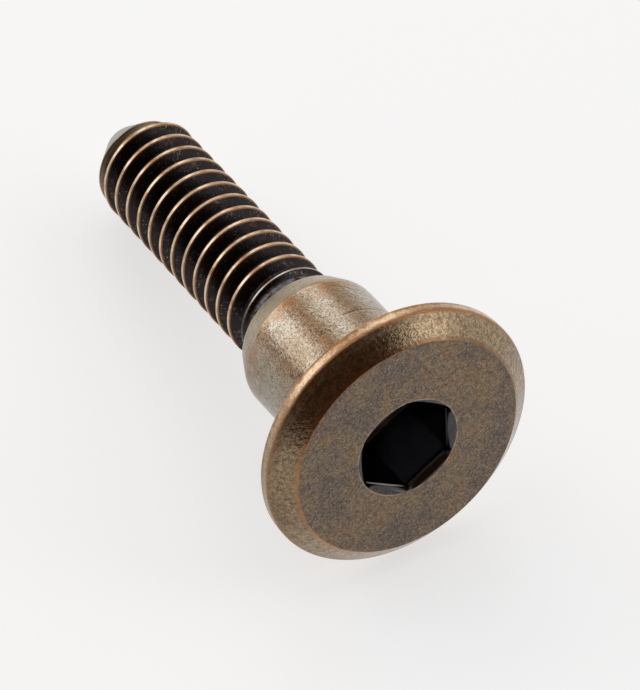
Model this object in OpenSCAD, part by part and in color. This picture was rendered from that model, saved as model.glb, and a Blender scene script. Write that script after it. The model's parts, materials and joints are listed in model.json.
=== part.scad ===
// Shoulder bolt with a wide bevelled head, a hex socket and a 1/4 inch coarse thread.
// The thread is a true right-hand helix that grows out of a plain neck and runs out on a coned tip.
// It stands on the head's flat face: z = 0 is that face and +Z runs along the bolt to its tip.
// All sizes are in millimetres.

/* [Head] */
// Diameter over the rim
head_d = 16; // [15:0.1:18]
// Thickness of the head, from its face to its seat
head_h = 1.95; // [1.8:0.05:3]
// Diameter of the flat face inside the bevel
face_d = 13.4; // [12:0.1:14]
// Height at which the bevel would meet the rim, measured from the face
bevel_h = 1.1; // [0.8:0.05:1.2]
// Rounding between the bevel and the rim
rim_round = 0.35; // [0.1:0.05:0.5]

/* [Hex socket] */
// Key size, across the flats
socket_af = 5.1; // [4:0.05:5.5]
// Depth of the full hexagon, from the face
socket_depth = 4.5; // [3:0.1:6]
// Diameter of the rounded mouth where it meets the face
mouth_d = 6.06; // [6:0.02:6.6]

/* [Shoulder] */
// Diameter of the plain shoulder
shoulder_d = 8.4; // [8:0.1:10]
// Length of the shoulder, from the head's seat to its end
shoulder_len = 9.5; // [8:0.1:20]
// Diameter of the shoulder's end, after its lead-in taper
taper_d = 7.2; // [6.6:0.1:7.8]
// Length of the lead-in taper
taper_len = 1.35; // [0.5:0.05:2]

/* [Thread] */
// Diameter over the thread
thread_d = 6.1; // [6.1:0.01:6.35]
// Diameter at the bottom of the grooves
root_d = 4.84; // [4.8:0.02:5]
// Distance from one crest to the next
pitch = 1.27; // [1.27:0.01:1.27]
// Distance from the shoulder to the tip
thread_reach = 19.65; // [15:0.05:40]
// Diameter of the plain neck, which is the blank that the thread is rolled on
neck_d = 5.52; // [5.4:0.02:5.6]
// Distance from the shoulder to where the first crest passes the +X side
first_crest = 1.79; // [1.7:0.01:3]
// Length of the coned tip
tip_len = 2.35; // [1:0.05:4]
// Diameter of the flat on the tip
tip_flat_d = 2.4; // [1:0.1:4]

/* [Hidden] */

// Facets round a full turn; the exact solids come out round
round_fn = 96;
// Facets round each turn of the thread, which stay as facets
thread_fn = 30;
// Straight steps in each rounded corner of the outline
corner_steps = 8;
// How far a cutter stands proud of the surface that it cuts
proud = 0.5;
// Small roundings that only break an edge
edge_break = 0.12;
// Rounding of the rim's back edge
back_round = 0.3;
// Fillet in the corner between the seat and the shoulder
seat_fillet = 0.25;
// Rounding where the lead-in taper leaves the shoulder
taper_round = 1.2;
// Widths of the flats on the thread's crest and at its root
crest_flat = 0.2;
root_flat = 0.32;
// Turns, counted from the first crest, over which the groove and the crest grow out of the neck
groove_run_in = [-0.95, -0.55];
crest_run_in = [-0.8, 0.1];
// The plain neck stands this much proud of the blank that carries the thread
neck_step = 0.02;
// The rounded mouth is a quarter ellipse that would turn straight at this width and depth
mouth_end_d = 5;
mouth_end_h = 0.7;
// Rounding where the cone ends in the tip's flat
tip_round = 0.4;
// Included angle of the cone at the bottom of the socket
socket_floor_angle = 120;

// The hexagon lies with corners on the X axis
socket_corner_r = socket_af / 2 / cos(30);
socket_floor_h = socket_af / 2 / tan(socket_floor_angle / 2);
shoulder_end = head_h + shoulder_len;
tip_z = shoulder_end + thread_reach;
crest_z = shoulder_end + first_crest;
neck_end = crest_z + crest_run_in[0] * pitch - 0.15;
cone_start = tip_z - tip_len;
flank_h = (pitch - crest_flat - root_flat) / 2;

// Unit vector from point a to point b
function towards(a, b) = (b - a) / norm(b - a);

// Arc that rounds the corner b between its neighbours a and c with radius r
function rounded_corner(a, b, c, r) =
    let (
        u = towards(b, a),
        v = towards(b, c),
        half = acos(u * v) / 2,
        middle = b + towards([0, 0], u + v) * r / sin(half),
        start = b + u * r / tan(half) - middle,
        side = sign(u[0] * v[1] - u[1] * v[0]),
        sweep = side * (180 - 2 * half)
    )
    [for (i = [0:corner_steps])
        let (t = -sweep * i / corner_steps)
        middle + [start[0] * cos(t) - start[1] * sin(t), start[0] * sin(t) + start[1] * cos(t)]];

// Outline with every corner [radius, height, rounding] rounded as it asks
function rounded_outline(corners) =
    let (n = len(corners), at = [for (c = corners) [c[0], c[1]]])
    [for (i = [0:n - 1])
        each corners[i][2] == 0
            ? [at[i]]
            : rounded_corner(at[(i + n - 1) % n], at[i], at[(i + 1) % n], corners[i][2])];

// Half section of the turned body
body_outline = rounded_outline([
    [0, 0, 0],
    [face_d / 2, 0, edge_break],
    [head_d / 2, bevel_h, rim_round],
    [head_d / 2, head_h, back_round],
    [shoulder_d / 2, head_h, seat_fillet],
    [shoulder_d / 2, shoulder_end - taper_len, taper_round],
    [taper_d / 2, shoulder_end, edge_break],
    [neck_d / 2, shoulder_end, 0],
    [neck_d / 2, neck_end, 0],
    [0, neck_end, 0]
]);

// Half section that the thread is trimmed to: open along its length, coned at the tip
trim_r = thread_d / 2 + proud;
trim_outline = rounded_outline([
    [0, shoulder_end - proud, 0],
    [trim_r, shoulder_end - proud, 0],
    [trim_r, cone_start - proud * tip_len * 2 / (thread_d - tip_flat_d), 0],
    [tip_flat_d / 2, tip_z, tip_round],
    [0, tip_z, 0]
]);

// Half section of the socket's rounded mouth
mouth_outline = [
    [0, -proud],
    [mouth_d / 2, -proud],
    for (t = [0:corner_steps])
        let (a = 90 * t / corner_steps, w = (mouth_d - mouth_end_d) / 2)
        [mouth_d / 2 - w * sin(a), mouth_end_h * (1 - cos(a))],
    [0, mouth_end_h]
];

// 0 before the span, 1 after it and a smooth rise between
function growth(turn, span) =
    let (t = max(0, min(1, (turn - span[0]) / (span[1] - span[0]))))
    t * t * (3 - 2 * t);

// The four corners of the thread's section at a turn: root, crest start, crest end, root
function thread_corner(k, turn) =
    let (
        blank = neck_d / 2 - neck_step,
        on_crest = k == 1 || k == 2,
        rise = (on_crest ? thread_d / 2 : root_d / 2) - blank,
        grown = on_crest ? growth(turn, crest_run_in) : growth(k == 0 ? turn - 1 : turn, groove_run_in),
        r = blank + rise * grown,
        z = crest_z + turn * pitch + sign(k - 1.5) * (crest_flat / 2 + (on_crest ? 0 : flank_h))
    )
    [r * cos(360 * turn), r * sin(360 * turn), z];

// Solid swept by the thread's section along its helix, from inside the shoulder to beyond the tip
module thread_sweep() {
    first = -3;
    last = ceil((tip_z - crest_z) / pitch) + 2;
    steps = (last - first) * thread_fn;
    turn_up = 4 * thread_fn;
    points = [
        for (s = [0:steps], k = [0:3]) thread_corner(k, first + s / thread_fn),
        [0, 0, crest_z + first * pitch],
        [0, 0, crest_z + last * pitch]
    ];
    low = len(points) - 2;
    high = low + 1;
    // each corner joins the next one up; the last one of a turn joins the first of the turn above
    sides = [
        for (s = [0:steps - 1], k = [0:3])
            if (k < 3 || s < steps - thread_fn)
                let (
                    a = 4 * s + k,
                    b = a + 4,
                    up = k < 3 ? 1 : turn_up - 3
                )
                each [[a, a + up, b + up], [a, b + up, b]]
    ];
    // both ends are fans from the axis, closed along the step where the sweep starts or stops
    lower_edge = [for (s = [0:thread_fn]) 4 * s, for (k = [3:-1:0]) k];
    upper_edge = [
        for (s = [steps - thread_fn:steps]) 4 * s + 3,
        for (k = [2:-1:0]) 4 * steps + k,
        4 * (steps - thread_fn) + 3
    ];
    bottom = [for (i = [1:len(lower_edge) - 1]) [low, lower_edge[i - 1], lower_edge[i]]];
    top = [for (i = [1:len(upper_edge) - 1]) [high, upper_edge[i], upper_edge[i - 1]]];
    polyhedron(points = points, faces = concat(sides, bottom, top));
}

module hex_socket() {
    // straight hexagon, open at the face
    translate([0, 0, -proud])
        cylinder(h = socket_depth + proud, r = socket_corner_r, $fn = 6);
    // coned floor left by the punch
    translate([0, 0, socket_depth])
        cylinder(h = socket_floor_h, r1 = socket_af / 2, r2 = 0, $fn = round_fn);
    // rounded mouth
    rotate_extrude($fn = round_fn)
        polygon(mouth_outline);
}

module threaded_shank() {
    intersection() {
        thread_sweep();
        rotate_extrude($fn = round_fn)
            polygon(trim_outline);
    }
}

module shoulder_bolt() {
    color("#7d634b")
        union() {
            difference() {
                rotate_extrude($fn = round_fn)
                    polygon(body_outline);
                hex_socket();
            }
            threaded_shank();
        }
}

shoulder_bolt();
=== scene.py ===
"""A shoulder bolt in worn antique bronze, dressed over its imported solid.

Lengths of the bolt are written in millimetres, as in its drawing, and become metres when a mesh
is made. Those of the stage are in metres. The bolt stands on its head: z = 0 is the head's flat
face and +Z runs to the tip.
"""

import json
import math

import bmesh
import bpy
import numpy as np
from mathutils import Matrix, Vector


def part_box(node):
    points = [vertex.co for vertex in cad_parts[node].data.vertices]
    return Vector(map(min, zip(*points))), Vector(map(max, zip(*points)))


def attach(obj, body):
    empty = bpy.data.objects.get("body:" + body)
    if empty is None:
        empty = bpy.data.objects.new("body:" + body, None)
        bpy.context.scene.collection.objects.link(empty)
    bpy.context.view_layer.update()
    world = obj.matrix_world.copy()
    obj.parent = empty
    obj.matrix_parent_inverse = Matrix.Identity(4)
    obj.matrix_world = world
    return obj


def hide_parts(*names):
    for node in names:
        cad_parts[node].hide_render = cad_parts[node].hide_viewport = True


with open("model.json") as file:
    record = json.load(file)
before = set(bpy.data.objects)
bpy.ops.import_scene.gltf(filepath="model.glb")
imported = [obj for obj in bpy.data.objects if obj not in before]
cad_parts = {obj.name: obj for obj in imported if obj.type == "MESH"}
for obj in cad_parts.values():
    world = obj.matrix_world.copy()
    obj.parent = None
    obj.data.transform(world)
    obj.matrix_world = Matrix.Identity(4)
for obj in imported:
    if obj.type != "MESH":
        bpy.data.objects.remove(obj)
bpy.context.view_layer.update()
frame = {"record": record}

MM = 0.001
BODY = "root"
NODE = "shoulder_bolt"

# ---------------------------------------------------------------- sizes in mm

node_low, node_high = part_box(NODE)
MOUNTS = {mount["name"]: mount for mount in frame["record"]["mounts"]}

HEAD_R = (node_high[0] - node_low[0]) / 2 / MM
TIP_Z = node_high[2] / MM
SEAT_Z = MOUNTS["head_seat"]["pos_m"][2] / MM
SHOULDER_R = MOUNTS["shoulder"]["dims"]["r_mm"]

FACE_R = 6.7
BEVEL_H = 1.1
EDGE_BREAK = 0.12
RIM_ROUND = 0.35
BACK_ROUND = 0.3
SEAT_FILLET = 0.25

SHOULDER_LEN = 9.5
SHOULDER_END = SEAT_Z + SHOULDER_LEN
TAPER_LEN = 1.35
TAPER_START = SHOULDER_END - TAPER_LEN
TAPER_R = 3.6
TAPER_ROUND = 1.2
NECK_R = 2.76
NECK_CORNER = 0.1

SOCKET_FLAT_R = 2.55
SOCKET_DEPTH = 4.5
SOCKET_FLOOR_H = SOCKET_FLAT_R / math.tan(math.radians(60))
SOCKET_FLOOR_CORNER = 0.1
# The cone of the floor starts this far in from the walls, and this far below them
FLOOR_EDGE_IN = 0.02
FLOOR_EDGE_DROP = 0.01
# The mouth is rolled over from a circle on the face to the hexagon below it
MOUTH_R = 3.03
MOUTH_HEIGHT = 0.46
# The punch spread the hexagon a little at the face
CORNER_SPREAD = 0.11
SPREAD_DEPTH = 0.6

PITCH = 1.27
CREST_R = 3.05
ROOT_R = 2.42
CREST_FLAT = 0.2
CREST_ROUND = 0.05
ROOT_FLAT = 0.32
ROOT_ROUND = 0.12
# Height at which the first crest passes the +X side
FIRST_CREST_Z = SHOULDER_END + 1.79
# Rows of the helix start this many turns before that crest and end this many past the tip
TURNS_BEFORE = 4
TURNS_PAST = 2
# Turns, counted from that crest, over which the groove and the crest grow out of the neck
GROOVE_RUN_IN = (-0.95, -0.55)
CREST_RUN_IN = (-0.8, 0.1)
TIP_LEN = 2.35
TIP_FLAT_R = 1.2
TIP_ROUND = 0.4
CONE_START = TIP_Z - TIP_LEN
# How fast the cone's radius falls with height
CONE_FALL = (CREST_R - TIP_FLAT_R) / TIP_LEN

# ---------------------------------------------------------------- mesh density

COLUMNS = 144
CORNER_STEPS = 6
# Largest share of a straight run that the rounding at one of its ends may take
CORNER_SHARE = 0.45
MOUTH_STEPS = 14
# The mouth's steps gather near the face by this power
MOUTH_GATHER = 1.5
# Depths of the rings on the socket's walls, below its mouth
WALL_RINGS = (1.2, 0.85, 0.6, 0.5)
LOWEST_WALL_RING = 2.5
# Rings on the face, outside the mouth's circle
FACE_RING_R = MOUTH_R + 0.2
TURNED_START_R = MOUTH_R + 0.5
THREAD_MESH_START = SHOULDER_END + 0.35
# The thread's mesh ends this far above the height at which the cone meets its roots, and the
# tip's own points keep this far from that end
THREAD_OVERLAP = 0.3
TIP_GAP = 0.01
# Longest pieces of the outlines
TURNED_STEP = 0.5
THREAD_STEP = 0.14
TIP_STEP = 0.2
# Radius of the small fans that close the mesh on the axis
FAN_R = 0.02
MERGE_DISTANCE = 1e-6
SHARP_ANGLE = math.radians(38)


def unit(vector):
    """The vector at length 1."""
    return vector / np.linalg.norm(vector)


def round_corner(before, corner, after, radius, steps=CORNER_STEPS):
    """Points of the arc that rounds one corner of an outline."""
    to_before, to_after = unit(before - corner), unit(after - corner)
    half = math.acos(np.clip(to_before @ to_after, -1, 1)) / 2
    reach = min(
        radius / math.tan(half),
        CORNER_SHARE * np.linalg.norm(before - corner),
        CORNER_SHARE * np.linalg.norm(after - corner),
    )
    start, end = corner + to_before * reach, corner + to_after * reach
    centre = corner + unit(to_before + to_after) * reach / math.cos(half)
    arm_start, arm_end = start - centre, end - centre
    sweep = math.pi - 2 * half
    arc = []
    for t in np.linspace(0, 1, steps + 1):
        arm = math.sin((1 - t) * sweep) * arm_start + math.sin(t * sweep) * arm_end
        arc.append(centre + arm / math.sin(sweep))
    return arc


def rounded(corners):
    """Outline through corners [radius, height, rounding], with the roundings made."""
    points = [np.array(c[:2], float) for c in corners]
    line = [points[0]]
    for i in range(1, len(corners) - 1):
        if corners[i][2]:
            line += round_corner(points[i - 1], points[i], points[i + 1], corners[i][2])
        else:
            line.append(points[i])
    line.append(points[-1])
    return np.array(line)


def evenly(line, longest):
    """The same outline with long straight runs cut into pieces."""
    out = [line[0]]
    for a, b in zip(line[:-1], line[1:]):
        parts = max(1, math.ceil(np.linalg.norm(b - a) / longest))
        out += [a + (b - a) * k / parts for k in range(1, parts + 1)]
    return np.array(out)


def around(count=COLUMNS):
    """Angles of evenly spaced columns."""
    return np.arange(count) * 2 * math.pi / count


def roll_over(z):
    """Share of the mouth's circle left at depth z, the rest being hexagon: a quarter ellipse."""
    left = 1 - min(z / MOUTH_HEIGHT, 1)
    return 1 - math.sqrt(1 - left * left)


def socket_outline(angle):
    """Half section of the socket at one angle, from its floor out to the face."""
    widen = 1 / math.cos((angle % (math.pi / 3)) - math.pi / 6)
    walls = []
    for z in (*WALL_RINGS, *(MOUTH_HEIGHT * np.linspace(1, 0, MOUTH_STEPS) ** MOUTH_GATHER)):
        hexagon_r = (SOCKET_FLAT_R + CORNER_SPREAD * max(0, 1 - z / SPREAD_DEPTH) ** 2) * widen
        walls.append([hexagon_r + max(0, MOUTH_R - hexagon_r) * roll_over(z), z, 0])
    return rounded([
        [FAN_R, SOCKET_DEPTH + SOCKET_FLOOR_H, 0],
        [SOCKET_FLAT_R - FLOOR_EDGE_IN, SOCKET_DEPTH + FLOOR_EDGE_DROP, 0],
        [SOCKET_FLAT_R * widen, SOCKET_DEPTH, SOCKET_FLOOR_CORNER],
        [SOCKET_FLAT_R * widen, LOWEST_WALL_RING, 0],
        *walls,
        [FACE_RING_R, 0, 0],
        [TURNED_START_R, 0, 0],
    ])


def turned_outline():
    """Half section of the turned outside, from the face to the neck."""
    return evenly(rounded([
        [TURNED_START_R, 0, 0],
        [FACE_R, 0, EDGE_BREAK],
        [HEAD_R, BEVEL_H, RIM_ROUND],
        [HEAD_R, SEAT_Z, BACK_ROUND],
        [SHOULDER_R, SEAT_Z, SEAT_FILLET],
        [SHOULDER_R, TAPER_START, TAPER_ROUND],
        [TAPER_R, SHOULDER_END, EDGE_BREAK],
        [NECK_R, SHOULDER_END, NECK_CORNER],
        [NECK_R, THREAD_MESH_START, 0],
    ]), TURNED_STEP)


def tip_outline():
    """Half section of the coned tip, from above the thread to the middle of its flat."""
    return rounded([
        [CREST_R, CONE_START, 0],
        [TIP_FLAT_R, TIP_Z, TIP_ROUND],
        [FAN_R, TIP_Z, 0],
    ])


def cone_r(z):
    """Radius of the coned tip at height z."""
    return CREST_R - (z - CONE_START) * CONE_FALL


def smooth_step(value, low, high):
    """0 below low, 1 above high, smooth between."""
    t = np.clip((value - low) / (high - low), 0, 1)
    return t * t * (3 - 2 * t)


def thread_profile():
    """Axial offsets and radii of one pitch of the thread, from root to root."""
    half = PITCH / 2
    line = rounded([
        [-half, ROOT_R, 0],
        [-half + ROOT_FLAT / 2, ROOT_R, ROOT_ROUND],
        [-CREST_FLAT / 2, CREST_R, CREST_ROUND],
        [CREST_FLAT / 2, CREST_R, CREST_ROUND],
        [half - ROOT_FLAT / 2, ROOT_R, ROOT_ROUND],
        [half, ROOT_R, 0],
    ])
    return evenly(line, THREAD_STEP)


def ring_faces(rings, columns, closed):
    """Quads between rings of vertices, stored ring after ring."""
    index = np.arange(rings * columns).reshape(rings, columns)
    if closed:
        index = np.hstack([index, index[:, :1]])
    corners = np.stack([index[:-1, :-1], index[:-1, 1:], index[1:, 1:], index[1:, :-1]], -1)
    return corners.reshape(-1, 4)


def revolve(outlines):
    """Vertices and faces of a surface from one (radius, height) outline per column."""
    outlines = np.asarray(outlines)
    angles = around(len(outlines))
    r, z = outlines[..., 0].T, outlines[..., 1].T
    points = np.stack([r * np.cos(angles), r * np.sin(angles), z], -1)
    return points.reshape(-1, 3), ring_faces(points.shape[0], points.shape[1], True)


def thread_surface(z_end):
    """The helical thread between the neck and the cone, as rows that follow the helix."""
    profile = thread_profile()[:-1]
    first, last = -TURNS_BEFORE, int((TIP_Z - FIRST_CREST_Z) / PITCH) + TURNS_PAST
    turn = np.repeat(np.arange(first, last), len(profile))[:, None]
    offset, radius = (np.tile(column, last - first)[:, None] for column in profile.T)
    angles = np.arange(COLUMNS + 1) * 2 * math.pi / COLUMNS
    turn = turn + angles / (2 * math.pi)
    # Rows beyond either end collapse onto it and are merged away
    z = np.clip(FIRST_CREST_Z + turn * PITCH + offset, THREAD_MESH_START, z_end)
    groove = smooth_step(np.where(offset < 0, turn - 1, turn), *GROOVE_RUN_IN)
    crest = smooth_step(turn, *CREST_RUN_IN)
    rise = radius - NECK_R
    r = NECK_R + np.where(rise < 0, rise * groove, rise * crest)
    r = np.minimum(r, cone_r(z))
    points = np.stack([r * np.cos(angles), r * np.sin(angles), z], -1)
    return points.reshape(-1, 3), ring_faces(points.shape[0], points.shape[1], False)


def tip_surface(z_start):
    """The coned tip, from the height at which the thread's mesh ends."""
    line = tip_outline()
    line = line[line[:, 1] > z_start + TIP_GAP]
    line = np.vstack([[cone_r(z_start), z_start], line])
    return revolve([evenly(line, TIP_STEP)] * COLUMNS)


def disc(radius, z, flip):
    """Small fan that closes the surface on the axis."""
    angles = around()
    ring = np.stack([radius * np.cos(angles), radius * np.sin(angles), np.full(COLUMNS, z)], -1)
    points = np.vstack([ring, [[0, 0, z]]])
    order = np.arange(COLUMNS)
    faces = np.stack([order, np.roll(order, -1), np.full(COLUMNS, COLUMNS)], -1)
    return points, faces[:, ::-1] if flip else faces


def bolt_mesh():
    """The whole bolt as one closed mesh."""
    thread_end = CONE_START + (CREST_R - ROOT_R) / CONE_FALL + THREAD_OVERLAP
    surfaces = [
        revolve([socket_outline(angle) for angle in around()]),
        revolve([turned_outline()] * COLUMNS),
        thread_surface(thread_end),
        tip_surface(thread_end),
        disc(FAN_R, SOCKET_DEPTH + SOCKET_FLOOR_H, True),
        disc(FAN_R, TIP_Z, False),
    ]
    vertices, faces, offset = [], [], 0
    for points, polygons in surfaces:
        vertices.append(points)
        faces += (polygons + offset).tolist()
        offset += len(points)
    mesh = bpy.data.meshes.new("bolt")
    mesh.from_pydata((np.vstack(vertices) * MM).tolist(), [], faces)
    work = bmesh.new()
    work.from_mesh(mesh)
    bmesh.ops.remove_doubles(work, verts=work.verts, dist=MERGE_DISTANCE)
    bmesh.ops.dissolve_degenerate(work, edges=work.edges, dist=MERGE_DISTANCE)
    bmesh.ops.recalc_face_normals(work, faces=work.faces)
    open_edges = sum(1 for edge in work.edges if not edge.is_manifold)
    print("bolt mesh:", len(work.faces), "faces,", open_edges, "open edges")
    work.to_mesh(mesh)
    work.free()
    mesh.shade_smooth()
    mesh.set_sharp_from_angle(angle=SHARP_ANGLE)
    return mesh


# ---------------------------------------------------------------- finishes

class Field:
    """A number that varies over a surface. Sums, products and the like add Math nodes."""

    def __init__(self, finish, socket):
        self.finish = finish
        self.socket = socket

    def combine(self, operation, first, second):
        return self.finish.number("ShaderNodeMath", {"operation": operation}, {0: first, 1: second})

    def __add__(self, other):
        return self.combine("ADD", self, other)

    __radd__ = __add__

    def __sub__(self, other):
        return self.combine("SUBTRACT", self, other)

    def __rsub__(self, other):
        return self.combine("SUBTRACT", other, self)

    def __mul__(self, other):
        return self.combine("MULTIPLY", self, other)

    __rmul__ = __mul__

    def __truediv__(self, other):
        return self.combine("DIVIDE", self, other)

    def __pow__(self, other):
        return self.combine("POWER", self, other)


class Finish:
    """The node tree of a material or of the world, under construction."""

    def __init__(self, owner):
        self.owner = owner
        owner.use_nodes = True
        self.tree = owner.node_tree
        self.tree.nodes.clear()

    def node(self, kind, settings, inputs):
        """Adds a node: its settings first, then the values or links of its sockets."""
        made = self.tree.nodes.new(kind)
        for name, value in settings.items():
            setattr(made, name, value)
        for name, value in inputs.items():
            if isinstance(value, Field):
                self.tree.links.new(value.socket, made.inputs[name])
            elif isinstance(value, bpy.types.NodeSocket):
                self.tree.links.new(value, made.inputs[name])
            else:
                made.inputs[name].default_value = value
        return made

    def number(self, kind, settings, inputs, output=0):
        return Field(self, self.node(kind, settings, inputs).outputs[output])

    def noise(self, at, size, detail=2.0, roughness=0.5, distortion=0.0):
        """Noise from 0 to 1 whose grains are about size millimetres across."""
        return self.number(
            "ShaderNodeTexNoise",
            {"noise_dimensions": "3D"},
            {"Vector": at, "Scale": 1 / size, "Detail": detail, "Roughness": roughness,
             "Distortion": distortion},
        )

    def ramp(self, value, low, high):
        """0 below low, 1 above high, smooth between; low may be above high."""
        return self.number(
            "ShaderNodeMapRange",
            {"interpolation_type": "SMOOTHSTEP", "clamp": True},
            {"Value": value, "From Min": low, "From Max": high},
        )

    def band(self, value, low, high, soft):
        """1 between low and high, fading over soft on both sides."""
        return self.ramp(value, low - soft, low) * (1 - self.ramp(value, high, high + soft))

    def mix(self, factor, first, second):
        """Colour between first and second."""
        made = self.node(
            "ShaderNodeMix",
            {"data_type": "RGBA", "clamp_factor": True},
            {"Factor": factor},
        )
        for index, value in ((6, first), (7, second)):
            if isinstance(value, bpy.types.NodeSocket):
                self.tree.links.new(value, made.inputs[index])
            else:
                made.inputs[index].default_value = (*value, 1)
        return made.outputs[2]


# Colours of the plating, of the metal under it and of what lies on it, with some painted highlight,
# sheen and shade, in linear light
FACE_BRONZE = (0.263, 0.195, 0.13)
FACE_SLATE = (0.143, 0.12, 0.114)
FACE_RUST = (0.27, 0.14, 0.07)
BEVEL_BRONZE = (0.39, 0.285, 0.172)
CHAMPAGNE = (0.51, 0.455, 0.37)
SHOULDER_BROWN = (0.38, 0.245, 0.128)
RUST = (0.46, 0.24, 0.12)
PEPPER = (0.055, 0.034, 0.02)
STRAW = (0.6, 0.5, 0.36)
HEAD_LIGHT = (0.46, 0.4, 0.33)
COPPER = (0.38, 0.178, 0.072)
PALE_COPPER = (0.62, 0.455, 0.3)
BURNT_COPPER = (0.34, 0.15, 0.06)
EDGE_BROWN = (0.38, 0.19, 0.08)
EDGE_PAINTED_SHADE = (0.19, 0.105, 0.055)
CREAM_COPPER = (0.68, 0.54, 0.395)
SATIN_GREY = (0.43, 0.37, 0.262)
THREAD_BLACK = (0.03, 0.025, 0.026)
NECK_PAINTED_SHEEN = (0.21, 0.22, 0.245)
NECK_SILVER = (0.48, 0.435, 0.38)
NECK_BROWN = (0.06, 0.03, 0.02)
THREAD_BROWN = (0.32, 0.15, 0.065)
LINT = (0.22, 0.2, 0.18)
TIP_GREY = (0.42, 0.43, 0.39)
TIP_OLIVE = (0.4, 0.37, 0.28)
SOCKET_BLACK = (0.15, 0.15, 0.17)
ARC_GREY = (0.065, 0.066, 0.073)
# Painted highlight on the socket's lip: dim, and bright on its lit side
LIP_PAINTED_DIM = (0.15, 0.138, 0.13)
LIP_PAINTED_HIGHLIGHT = (0.75, 0.68, 0.6)

# Directions, seen from the axis: the socket's lip on its lit side, with the brightest painted
# highlight, the side where the rim is painted in shade, and the side painted in shade on the rest of
# the turned surface
LIT_LIP = (-0.87, 0.5)
RIM_SHADE_SIDE = (0.5, -0.87)
SHADED_SIDE = (-0.87, -0.5)
# Heights: the plane under the socket's point, the thin painted highlight on the rim, the band of the
# shoulder that rusts, and the two bright lines where the tapered end begins and stops
UNDER_SOCKET = (6.5, 6.6)
RIM_PAINTED_HIGHLIGHT = (BEVEL_H + 0.23, BEVEL_H + 0.42)
RUSTY_BAND = (TAPER_START - 1.4, TAPER_START - 0.4)
END_LINES = ((TAPER_START - 0.2, TAPER_START - 0.14), (SHOULDER_END - 0.15, SHOULDER_END - 0.05))
# Roughness where the plating is glossiest, and the depth of the grain in metres
GLOSS = 0.19
GRAIN_DEPTH = 0.00003
GRAIN_STRENGTH = 0.8
# Scratches on the shoulder: start and end as (turns, height), and how dark they are
SCRATCHES = (
    ((-0.15, 6.98), (-0.02, 7.25), 0.7),
    ((-0.12, 9.42), (-0.06, 8.9), 0.6),
)


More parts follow.
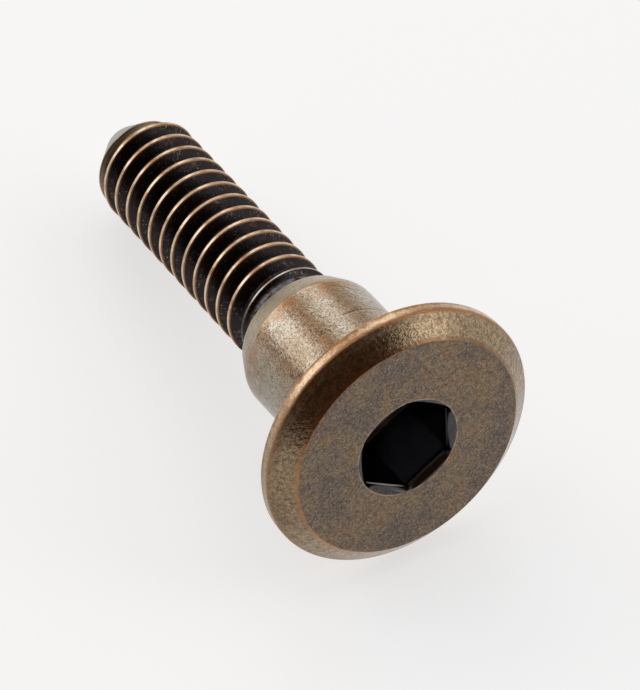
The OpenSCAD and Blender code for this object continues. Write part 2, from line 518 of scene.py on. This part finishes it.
def antique_bronze():
    """Worn antique bronze plating: dark where it is sheltered, copper where it has rubbed through,
    with painted highlights, a painted sheen and painted shade on some parts.
    """
    f = Finish(bpy.data.materials.new("antique_bronze"))
    at = f.node("ShaderNodeTexCoord", {}, {}).outputs["Object"]
    mm = f.node("ShaderNodeVectorMath", {"operation": "SCALE"}, {0: at, "Scale": 1 / MM}).outputs[0]
    xyz = f.node("ShaderNodeSeparateXYZ", {}, {0: mm})
    x, y, z = (Field(f, xyz.outputs[i]) for i in range(3))
    r = (x * x + y * y) ** 0.5
    turn = f.number("ShaderNodeMath", {"operation": "ARCTAN2"}, {0: y, 1: x}) / (2 * math.pi)
    above_crest = z - FIRST_CREST_Z - turn * PITCH
    from_crest = f.number(
        "ShaderNodeMath", {"operation": "WRAP"}, {0: above_crest, 1: PITCH / 2, 2: -PITCH / 2}
    )

    patch = f.noise(mm, 3.2, 1.0, 0.5)
    blotch = f.noise(mm, 0.9, 2.0, 0.6)
    cloud = f.noise(mm, 0.42, 1.0, 0.5)
    grain = f.noise(mm, 0.2, 0.0, 0.5)
    fine = f.noise(mm, 0.1, 2.0, 0.75)
    pits = f.ramp(fine * 0.6 + grain * 0.4, 0.56, 0.4)
    pinholes = f.ramp(f.noise(mm, 0.085, 1.0, 0.7), 0.5, 0.37)
    mottle = f.ramp(f.noise(mm, 0.3, 3.0, 0.7), 0.56, 0.38)
    dark_specks = f.ramp(fine, 0.36, 0.3)
    light_specks = f.ramp(f.noise(mm, 0.1, 0.0, 0.5, 1.0), 0.66, 0.74)

    # Zones, in order along the bolt
    below_seat = 1 - f.ramp(z, SEAT_Z, SEAT_Z + 0.15)
    inside = f.ramp(r, MOUTH_R + 0.02, MOUTH_R - 0.03) * (1 - f.ramp(z, *UNDER_SOCKET))
    face_only = (1 - f.ramp(r + z, FACE_R, FACE_R + 0.1)) * (1 - f.ramp(z, 0.5, 0.6))
    face_only = face_only * (1 - inside)
    on_end = f.ramp(z + (cloud - 0.5) * 0.3, TAPER_START - 0.25, TAPER_START + 0.05)
    on_neck = f.ramp(z, SHOULDER_END - 0.04, SHOULDER_END)
    on_thread = f.ramp(above_crest, -0.45, -0.38)
    to_cone = r + (z - CONE_START) * CONE_FALL
    on_cone = f.ramp(z, CONE_START, CONE_START + 0.15)
    on_cone = on_cone * f.ramp(to_cone, CREST_R - 0.08, CREST_R - 0.04)
    on_shoulder = (1 - below_seat) * (1 - on_end)

    # Head: brown bronze, with broad slate and rusty tints
    head = f.mix(face_only, BEVEL_BRONZE, FACE_BRONZE)
    slate = f.ramp(cloud * 0.15 + blotch * 0.4 + patch * 0.45, 0.55, 0.41) * face_only
    head = f.mix(slate * 0.75, head, FACE_SLATE)
    tinted = f.ramp(cloud * 0.3 + blotch * 0.45 + patch * 0.25, 0.52, 0.63)
    head = f.mix(tinted * 0.55, head, FACE_RUST)
    head = f.mix(pinholes * 0.45, head, PEPPER)
    head = f.mix(pits * 0.42, head, PEPPER)
    head = f.mix(mottle * 0.36, head, PEPPER)
    head = f.mix(dark_specks * 0.5, head, PEPPER)
    head = f.mix(f.ramp(fine, 0.54, 0.7) * 0.35, head, HEAD_LIGHT)
    head = f.mix(light_specks * 0.25, head, HEAD_LIGHT)
    rust_spots = f.ramp(cloud * 0.7 + blotch * 0.3, 0.66, 0.72) * face_only
    head = f.mix(rust_spots * 0.35, head, RUST)

    # Shoulder: glossy champagne, browner in patches, with fine pits
    tan = f.ramp(cloud * 0.3 + blotch * 0.3 + patch * 0.4, 0.4, 0.62)
    shoulder = f.mix(tan * 0.55, CHAMPAGNE, SHOULDER_BROWN)
    shoulder = f.mix(pinholes * 0.6, shoulder, PEPPER)
    shoulder = f.mix(pits * 0.2, shoulder, PEPPER)
    shoulder = f.mix(mottle * 0.14, shoulder, PEPPER)
    pepper = f.ramp(fine * 0.55 + blotch * 0.45, 0.43, 0.36)
    shoulder = f.mix(pepper * 0.7, shoulder, PEPPER)
    rusty = f.ramp(z, *RUSTY_BAND) * f.ramp(blotch * 0.5 + cloud * 0.5, 0.4, 0.6)
    shoulder = f.mix(rusty * 0.55, shoulder, RUST)
    for start, end, dark in SCRATCHES:
        slope = (end[1] - start[1]) / (end[0] - start[0])
        across = z - start[1] - (turn - start[0]) * slope + (cloud - 0.5) * 0.05
        along = f.band(turn, start[0], end[0], 0.02)
        shoulder = f.mix(along * f.band(across, -0.02, 0.03, 0.04) * dark, shoulder, PEPPER)
        shoulder = f.mix(along * f.band(across, -0.13, -0.09, 0.04) * dark * 0.8, shoulder, STRAW)
    colour = f.mix(below_seat, shoulder, head)
    end_ring = f.mix(f.ramp(cloud * 0.5 + grain * 0.5, 0.45, 0.65) * 0.5, SATIN_GREY, SHOULDER_BROWN)
    end_ring = f.mix(pits * 0.35, end_ring, PEPPER)
    colour = f.mix(on_end, colour, end_ring)
    end_lines = f.band(z, *END_LINES[0], 0.04) + f.band(z, *END_LINES[1], 0.04)
    colour = f.mix(end_lines * 0.35, colour, STRAW)

    # Neck and thread: near black, with pale copper crests and a brown line on their head side; the
    # bluish band on the neck is a painted sheen, a painted reflection of a window
    painted_sheen = f.band(z, SHOULDER_END + 0.55, SHOULDER_END + 1.1, 0.35) * f.ramp(cloud, 0.3, 0.45)
    # The painted sheen fades out where the angle jumps from one turn to the next
    painted_sheen = painted_sheen * f.ramp(turn * turn, 0.24, 0.16)
    neck = f.mix(painted_sheen * (1 - pits * 0.6), NECK_BROWN, NECK_PAINTED_SHEEN)
    colour = f.mix(on_neck, colour, neck)
    flank = f.mix(f.ramp(cloud * 0.6 + grain * 0.4, 0.56, 0.66) * 0.12, THREAD_BLACK, THREAD_BROWN)
    flank = f.mix(light_specks * f.ramp(blotch, 0.45, 0.6) * 0.8, flank, LINT)
    colour = f.mix(on_thread, colour, flank)
    grown = f.ramp(above_crest, PITCH * 0.2, PITCH * 0.5)
    brown_line = f.band(from_crest, -0.13, -0.08, 0.025) * grown
    brown_line = brown_line * f.ramp(r, NECK_R + 0.05, NECK_R + 0.1)
    crest = f.band(from_crest, grown * -0.05 - 0.04, grown * 0.05 + 0.04, 0.015)
    crest = crest * f.ramp(r, CREST_R - 0.16, CREST_R - 0.1) * on_neck * on_thread
    darkened = f.ramp(blotch * 0.4 + cloud * 0.6, 0.42, 0.62)
    crest_metal = f.mix(darkened * 0.6, CREAM_COPPER, THREAD_BROWN)
    crest_metal = f.mix(1 - f.ramp(above_crest, PITCH * 0.5, PITCH), crest_metal, NECK_SILVER)
    colour = f.mix(brown_line * 0.8, colour, THREAD_BROWN)
    colour = f.mix(crest, colour, crest_metal)
    on_nose = f.ramp(z, CONE_START, CONE_START + 0.3)
    colour = f.mix(on_nose, colour, f.mix(pits * 0.4, TIP_OLIVE, THREAD_BROWN))
    nose_edge = on_nose * f.band(to_cone, CREST_R - 0.16, CREST_R - 0.09, 0.03)
    colour = f.mix(nose_edge, colour, THREAD_BROWN)
    colour = f.mix(on_cone, colour, f.mix(pits * 0.2, TIP_GREY, TIP_OLIVE))

    # Rubbed edges: the rim with a burnt fringe, a painted highlight and painted shade on one side, the
    # face's edge with painted shade, and the socket's mouth
    worn = f.ramp(blotch * 0.5 + cloud * 0.5, 0.4, 0.6)
    speckled = f.ramp(cloud * 0.4 + fine * 0.3 + grain * 0.3, 0.42, 0.56)
    outer = below_seat * f.ramp(r, HEAD_R - 0.5, HEAD_R - 0.3)
    toward_shaded_side = (x * SHADED_SIDE[0] + y * SHADED_SIDE[1]) / r
    rim = f.ramp(z, BEVEL_H - 0.05, BEVEL_H + 0.1) * outer
    # Painted shade: towards one side the rim and its corner are mixed further to copper and burnt
    # copper
    painted_rim_shade = f.ramp((x * RIM_SHADE_SIDE[0] + y * RIM_SHADE_SIDE[1]) / r, 0.4, 0.95)
    # Painted highlight: a thin band round the rim keeps the pale copper
    painted_rim_highlight = f.band(z + (cloud - 0.5) * 0.35, *RIM_PAINTED_HIGHLIGHT, 0.14)
    rim_metal = f.mix((1 - painted_rim_highlight) * (worn * 0.3 + painted_rim_shade * 0.3 + 0.35), PALE_COPPER, COPPER)
    back_fringe = f.ramp(z + (cloud - 0.5) * 0.4, SEAT_Z - 0.3, SEAT_Z - 0.18)
    rim_metal = f.mix(back_fringe * (speckled * 0.5 + 0.4), rim_metal, BURNT_COPPER)
    colour = f.mix(rim * (1 - pits * 0.4), colour, rim_metal)
    corner = f.band(z + (cloud - 0.5) * 0.14, BEVEL_H - 0.09, BEVEL_H + 0.04, 0.05) * outer
    colour = f.mix(corner * (speckled * 0.4 + painted_rim_shade * 0.25 + 0.15), colour, BURNT_COPPER)
    face_edge = f.band(r, FACE_R + 0.02, FACE_R + 0.16, 0.08) * (1 - f.ramp(z, 0.25, 0.3))
    # Painted shade: the face's edge is brown towards the shaded side and a darker copy away from it
    edge_metal = f.mix(f.ramp(toward_shaded_side, -0.4, 0.5), EDGE_PAINTED_SHADE, EDGE_BROWN)
    colour = f.mix(face_edge * (worn * 0.35 + speckled * 0.25 + 0.35), colour, edge_metal)
    mouth = f.band(r, MOUTH_R, MOUTH_R + 0.05, 0.04) * (1 - f.ramp(z, 0.05, 0.1))
    colour = f.mix(mouth * (worn * 0.5 + 0.2), colour, f.mix(cloud, COPPER, HEAD_LIGHT))

    # Painted shade on one side, on everything that was turned but the face
    painted_side_shade = f.ramp(toward_shaded_side, 0.8, 0.97) * (1 - face_only) * (1 - on_neck)
    colour = f.mix(painted_side_shade * (rim * 0.15 + 0.27), colour, PEPPER)

    # Socket: black walls and corners, and slate arcs whose inner lip carries a painted highlight,
    # bright on the lit side and dim elsewhere
    sixth = f.number("ShaderNodeMath", {"operation": "WRAP"}, {0: turn * 6, 1: 1.0, 2: 0.0})
    sixth = sixth - 0.5
    on_corner = f.ramp(sixth * sixth, 0.19, 0.22)
    on_arc = f.ramp(z, MOUTH_HEIGHT, MOUTH_HEIGHT - 0.04) * (1 - on_corner)
    lip = f.band(z, MOUTH_HEIGHT - 0.15, MOUTH_HEIGHT - 0.08, 0.03) * on_arc
    lit_side = f.ramp((x * LIT_LIP[0] + y * LIT_LIP[1]) / r, 0.8, 0.95)
    arc = f.mix(f.ramp(grain * 0.5 + fine * 0.5, 0.5, 0.42) * 0.6, ARC_GREY, PEPPER)
    arc = f.mix(lip * 0.9, arc, f.mix(lit_side, LIP_PAINTED_DIM, LIP_PAINTED_HIGHLIGHT))
    colour = f.mix(inside, colour, f.mix(on_arc, SOCKET_BLACK, arc))

    bevel_edge = outer * f.band(z, BEVEL_H - 0.4, BEVEL_H, 0.2)
    roughness = GLOSS + face_only * 0.25 + tan * on_shoulder * 0.06 + on_end * 0.12 + rim * 0.08
    roughness = roughness + inside * lip * 0.35 + bevel_edge * 0.1
    roughness = roughness + on_neck * (1 - on_thread) * 0.3 + on_nose * 0.25
    relief = f.node(
        "ShaderNodeBump",
        {},
        {
            "Strength": GRAIN_STRENGTH,
            "Distance": GRAIN_DEPTH,
            "Height": (grain * 0.42 + fine * 0.55) * (1 - on_end * 0.5) * (1 - inside),
        },
    )
    shader = f.node(
        "ShaderNodeBsdfPrincipled",
        {},
        {"Base Color": colour, "Roughness": roughness, "Metallic": 1.0, "Normal": relief.outputs[0]},
    )
    f.node("ShaderNodeOutputMaterial", {}, {"Surface": shader.outputs[0]})
    return f.owner


# ---------------------------------------------------------------- stage

BACKGROUND = 0.939
TABLE_MATT = (0.49, 0.5, 0.51)
TABLE_GLOW = 0.612
GROUND_SIZE = 1.5
# The floor lies just under the head's face, and the slanting table touches the head's rim
FLOOR_Z = -0.00002
TABLE_UP = (0.438, -0.882, -0.172)
TABLE_TOUCH_SIDE = (-0.444, 0.896, 0)
TABLE_TOUCH_Z = 1.5 * MM


def one_sided_white(name, in_reflections):
    """Pale ground seen from its front only: part of it glows, the rest takes light and shadow."""
    f = Finish(bpy.data.materials.new(name))
    glow = f.node("ShaderNodeEmission", {}, {"Color": (1, 1, 1, 1), "Strength": TABLE_GLOW})
    matt = f.node("ShaderNodeBsdfDiffuse", {}, {"Color": (*TABLE_MATT, 1)})
    pale = f.node("ShaderNodeAddShader", {}, {0: glow.outputs[0], 1: matt.outputs[0]})
    clear = f.node("ShaderNodeBsdfTransparent", {}, {})
    path = f.node("ShaderNodeLightPath", {}, {}).outputs
    seen = Field(f, path["Is Camera Ray"])
    if in_reflections:
        seen = seen + Field(f, path["Is Glossy Ray"]) + Field(f, path["Is Transmission Ray"])
    back = f.node("ShaderNodeNewGeometry", {}, {}).outputs["Backfacing"]
    show = seen * (1 - Field(f, back))
    both = f.node("ShaderNodeMixShader", {}, {0: show, 1: clear.outputs[0], 2: pale.outputs[0]})
    f.node("ShaderNodeOutputMaterial", {}, {"Surface": both.outputs[0]})
    return f.owner


def turned_to(direction):
    """Rotation that turns +Z to the given direction."""
    return direction.to_track_quat("Z", "Y").to_matrix().to_4x4()


def ground(name, centre, up, material):
    """Square sheet of ground, facing up along the given vector."""
    mesh = bpy.data.meshes.new(name)
    half = GROUND_SIZE / 2
    corners = [(-half, -half, 0), (half, -half, 0), (half, half, 0), (-half, half, 0)]
    mesh.from_pydata(corners, [], [(0, 1, 2, 3)])
    mesh.materials.append(material)
    sheet = bpy.data.objects.new(name, mesh)
    bpy.context.collection.objects.link(sheet)
    sheet.matrix_world = Matrix.Translation(centre) @ turned_to(Vector(up))


# Windows: name, direction from the bolt, width, height and radiance
WINDOWS = (
    ("left_window", (-0.203, -0.709, 0.675), 0.26, 0.3, 1.25),
    ("right_window", (0.604, -0.423, 0.675), 0.2, 0.3, 0.8),
    ("low_window", (0.81, -0.07, -0.59), 0.2, 0.2, 1.2),
)
WINDOW_DISTANCE = 0.5
WINDOW_AIM = Vector((0, 0, 0.01))


def softbox(name, direction, width, height, radiance):
    """Rectangular lamp that faces the bolt."""
    lamp = bpy.data.lights.new(name, "AREA")
    lamp.shape = "RECTANGLE"
    lamp.size, lamp.size_y = width, height
    lamp.energy = radiance * math.pi * width * height
    made = bpy.data.objects.new(name, lamp)
    bpy.context.collection.objects.link(made)
    towards = Vector(direction).normalized()
    made.matrix_world = Matrix.Translation(WINDOW_AIM + towards * WINDOW_DISTANCE) @ turned_to(towards)
    made.visible_camera = False


DOME_LIGHT = 0.7
# The dome is a little brighter towards +X
DOME_TILT = 0.34
# The unlit room below and in front of the stand, fading out between two angles (degrees)
ROOM_SIDE = (-0.08, -0.62, -0.78)
ROOM_REACH = (42, 54)
ROOM_COLOUR = (0.085, 0.048, 0.03)
# Dark strips between the windows: from, to (degrees from -Y towards +X) and colour
STRIPS = (
    (-150, -84, (0.42, 0.4, 0.35)),
    (-62, -42, (0.4, 0.215, 0.105)),
    (8, 30, (0.7, 0.46, 0.28)),
    (74, 100, (0.62, 0.49, 0.37)),
)
STRIP_SOFT = 8


def studio_world():
    """Pale dome with an unlit room on one side and dark strips between the windows."""
    world = bpy.data.worlds.new("studio")
    bpy.context.scene.world = world
    f = Finish(world)
    direction = f.node("ShaderNodeTexCoord", {}, {}).outputs["Generated"]
    xyz = f.node("ShaderNodeSeparateXYZ", {}, {0: direction})
    x, y, z = (Field(f, xyz.outputs[i]) for i in range(3))
    heading = f.number("ShaderNodeMath", {"operation": "ARCTAN2"}, {0: x, 1: y * -1})
    heading = heading * (180 / math.pi)
    raised = f.ramp(z, 0.3, 0.45) * f.ramp(z, 0.97, 0.9)
    toward_room = f.number(
        "ShaderNodeVectorMath",
        {"operation": "DOT_PRODUCT"},
        {0: direction, 1: Vector(ROOM_SIDE).normalized()},
        "Value",
    )
    room = f.ramp(toward_room, *(math.cos(math.radians(reach)) for reach in reversed(ROOM_REACH)))
    dim_side, bright_side = (DOME_LIGHT * (1 - DOME_TILT),) * 3, (DOME_LIGHT * (1 + DOME_TILT),) * 3
    light = f.mix(x * 0.5 + 0.5, dim_side, bright_side)
    for low, high, colour in STRIPS:
        light = f.mix(f.band(heading, low, high, STRIP_SOFT) * raised, light, colour)
    light = f.mix(room, light, ROOM_COLOUR)
    seen = Field(f, f.node("ShaderNodeLightPath", {}, {}).outputs["Is Camera Ray"])
    light = f.mix(seen, light, (BACKGROUND,) * 3)
    sky = f.node("ShaderNodeBackground", {}, {"Color": light, "Strength": 1.0})
    f.node("ShaderNodeOutputWorld", {}, {"Surface": sky.outputs[0]})


# The picture is 640 x 690 pixels, and the sensor's width in millimetres covers its longer side
IMAGE_HEIGHT = 690
SENSOR = 36
FOCAL_PX = 5989
CLIP_RANGE = (0.01, 10)
VIEW_DISTANCE = 0.31736
VIEW_ELEVATION = math.radians(-42.46)
VIEW_ROLL = math.radians(-43.04)
VIEW_AIM = Vector((0.000294, -0.004794, 0.005309))


def camera():
    """Long lens that looks up at the head from below, tilted so that the bolt lies across the view."""
    data = bpy.data.cameras.new("camera")
    data.sensor_width = SENSOR
    data.lens = FOCAL_PX / IMAGE_HEIGHT * SENSOR
    data.clip_start, data.clip_end = CLIP_RANGE
    made = bpy.data.objects.new("camera", data)
    bpy.context.collection.objects.link(made)
    turn = Matrix.Rotation(math.pi / 2 - VIEW_ELEVATION, 4, "X") @ Matrix.Rotation(VIEW_ROLL, 4, "Z")
    made.matrix_world = Matrix.Translation(VIEW_AIM) @ turn @ Matrix.Translation((0, 0, VIEW_DISTANCE))
    bpy.context.scene.camera = made


bolt = bpy.data.objects.new("bolt", bolt_mesh())
bpy.context.collection.objects.link(bolt)
bolt.data.materials.append(antique_bronze())
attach(bolt, BODY)
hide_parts(NODE)

rim_point = Vector(TABLE_TOUCH_SIDE).normalized() * HEAD_R * MM
table_touch = rim_point + Vector((0, 0, TABLE_TOUCH_Z))
ground("table", table_touch, TABLE_UP, one_sided_white("table_white", True))
ground("floor", (0, 0, FLOOR_Z), (0, 0, 1), one_sided_white("floor_white", False))

studio_world()
for window in WINDOWS:
    softbox(*window)
camera()

view = bpy.context.scene.view_settings
view.view_transform = "Standard"
